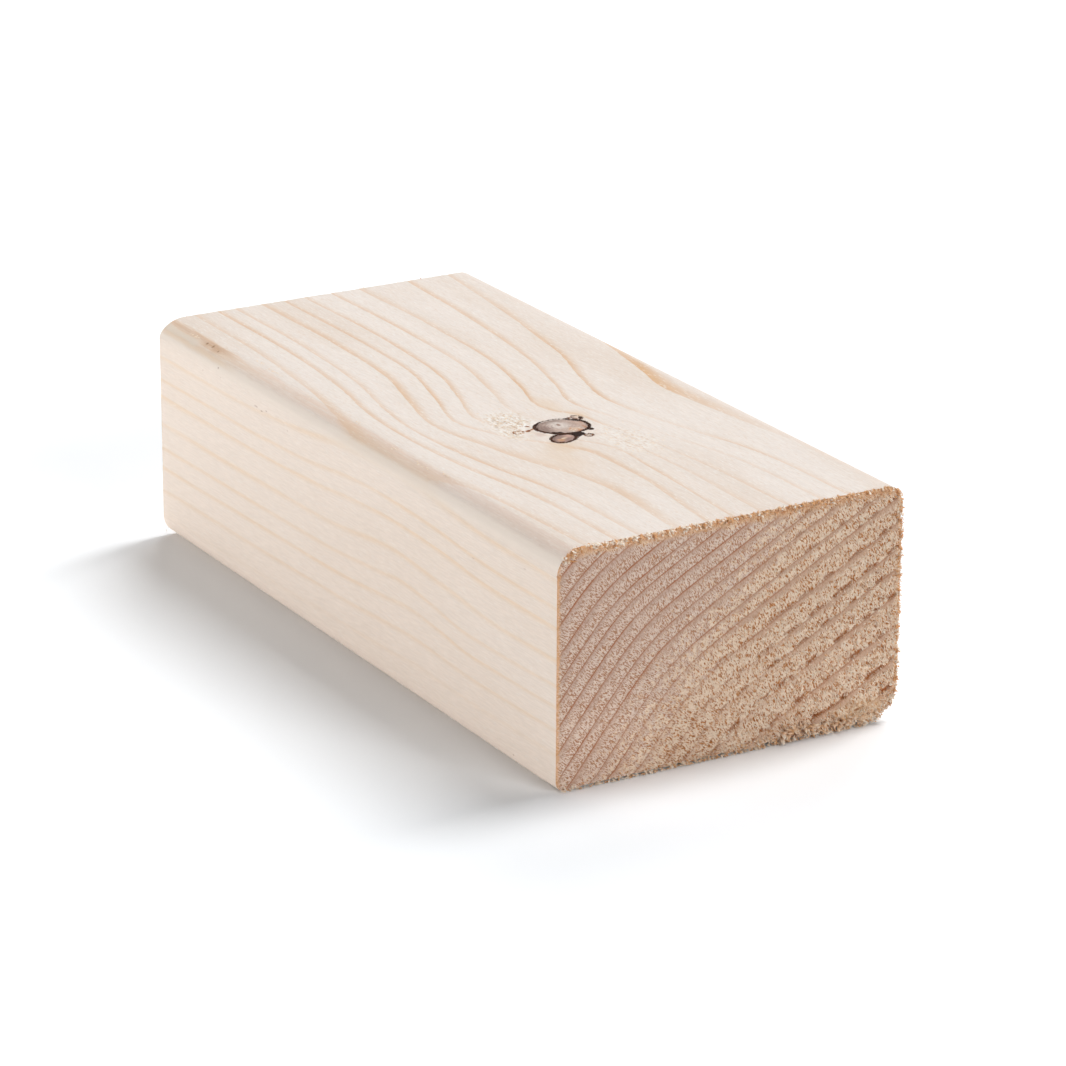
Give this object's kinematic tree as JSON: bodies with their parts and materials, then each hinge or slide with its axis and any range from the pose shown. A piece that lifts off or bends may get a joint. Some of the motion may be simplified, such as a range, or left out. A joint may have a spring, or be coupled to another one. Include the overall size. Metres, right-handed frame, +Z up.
{
  "type": "timber stud",
  "caption": "Short sawn length of planed softwood stud with eased arrises, a strip of wane and rough sawn ends, for framing and blocking.",
  "frame": {"origin": "centre of the bottom face", "axes": "+X along the grain towards the front sawn end, +Y across the width towards the right face, +Z up through the thickness"},
  "size_m": [0.1616, 0.075, 0.047],
  "materials": {
    "planed_spruce": "planed matt faces with rough sawn ends"
  },
  "bodies": {
    "root": {"timber_stud": "planed_spruce"}
  },
  "joints": []
}
